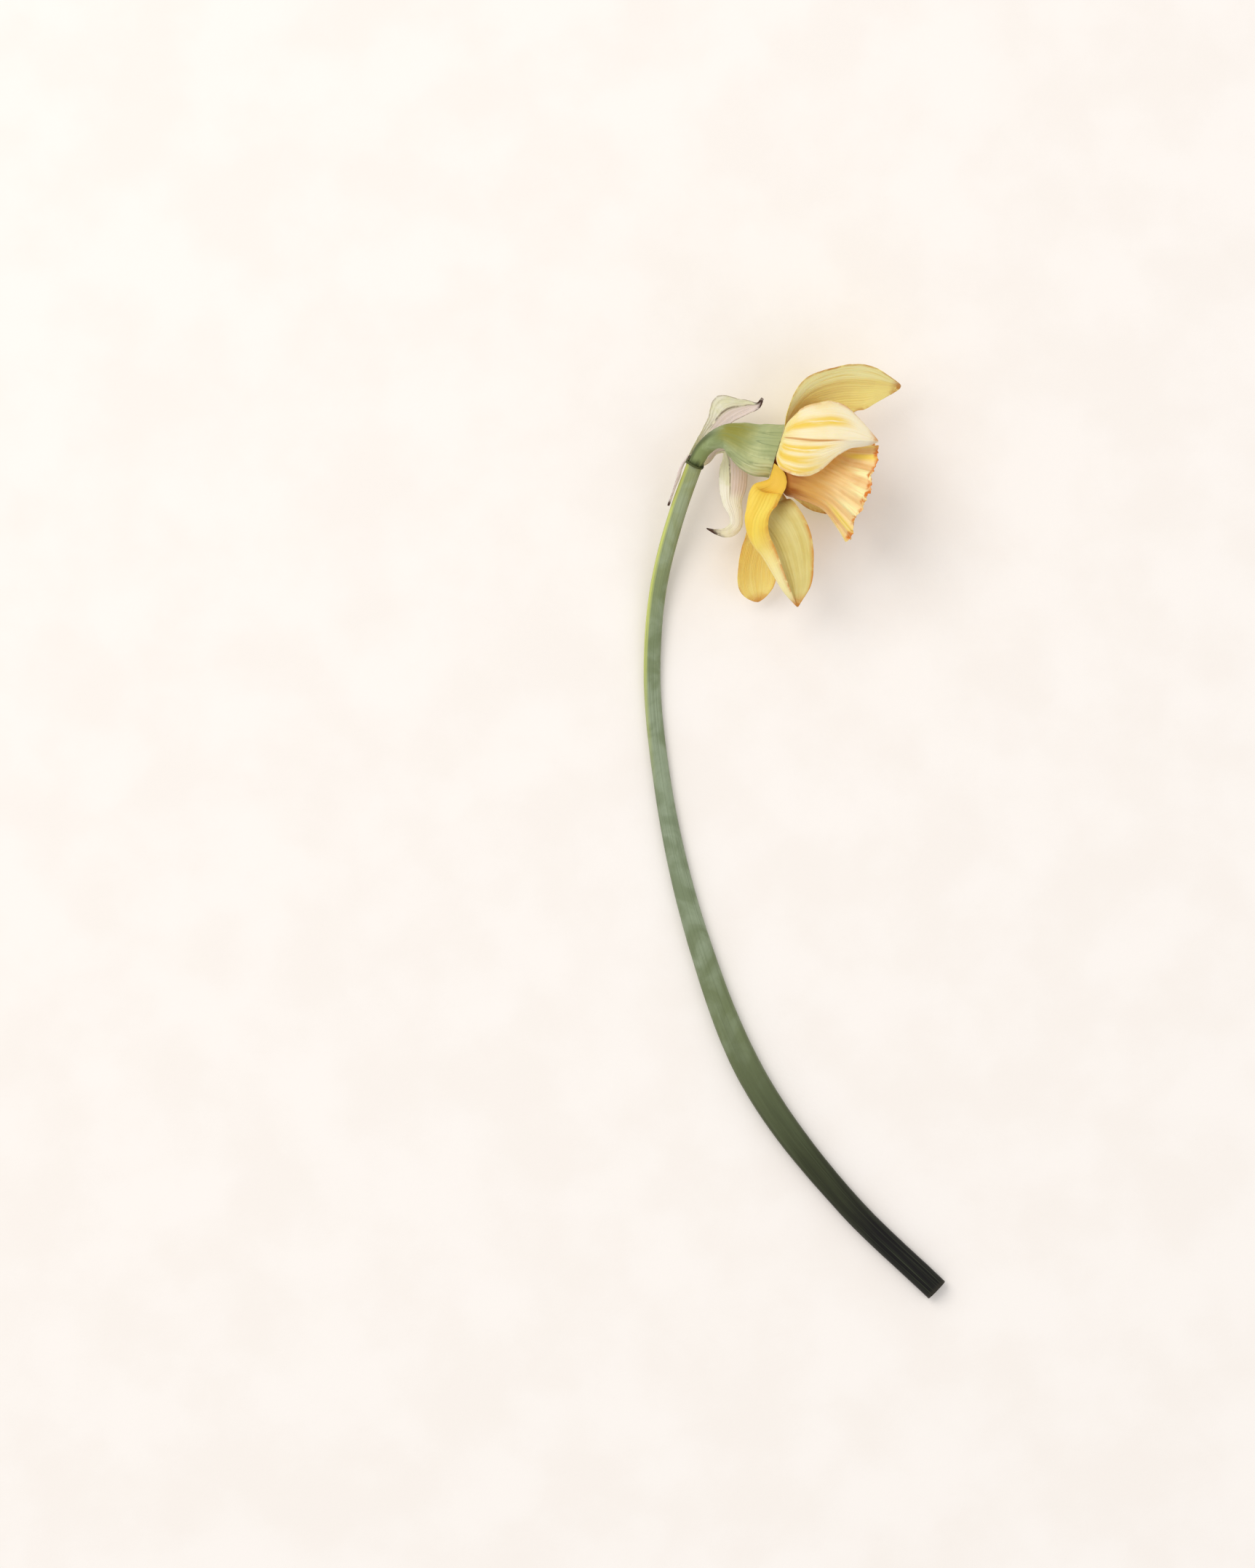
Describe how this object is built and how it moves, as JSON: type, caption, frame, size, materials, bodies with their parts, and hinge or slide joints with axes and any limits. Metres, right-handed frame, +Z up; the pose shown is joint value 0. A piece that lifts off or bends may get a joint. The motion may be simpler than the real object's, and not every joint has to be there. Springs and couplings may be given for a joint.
{
  "type": "daffodil flower",
  "caption": "Single cut daffodil lying on its side: long bowed stalk, papery sheath at a bent neck, frilled trumpet and pointed tepals.",
  "frame": {"origin": "middle of the flower's bounding box, on the surface it lies on", "axes": "+Y from the cut end of the stalk towards the bloom, +X the way the trumpet faces, +Z up from the surface"},
  "size_m": [0.0992, 0.3065, 0.0433],
  "materials": {
    "stem": "satin",
    "neck": "satin",
    "sheath": "matte",
    "trumpet": "matte",
    "stamen": "matte",
    "pistil": "satin",
    "tepal_cream": "matte",
    "tepal_yellow": "matte",
    "tepal_gold": "matte"
  },
  "bodies": {
    "root": {"stem": "stem", "neck": "neck", "spathe": "sheath", "trumpet": "trumpet", "stamens": "stamen", "pistil": "pistil", "tepal_front": "tepal_cream", "tepal_top": "tepal_yellow", "tepal_lower_front": "tepal_gold", "tepal_lower_back": "tepal_gold", "tepal_under": "tepal_yellow", "tepal_back": "tepal_yellow"}
  },
  "joints": []
}
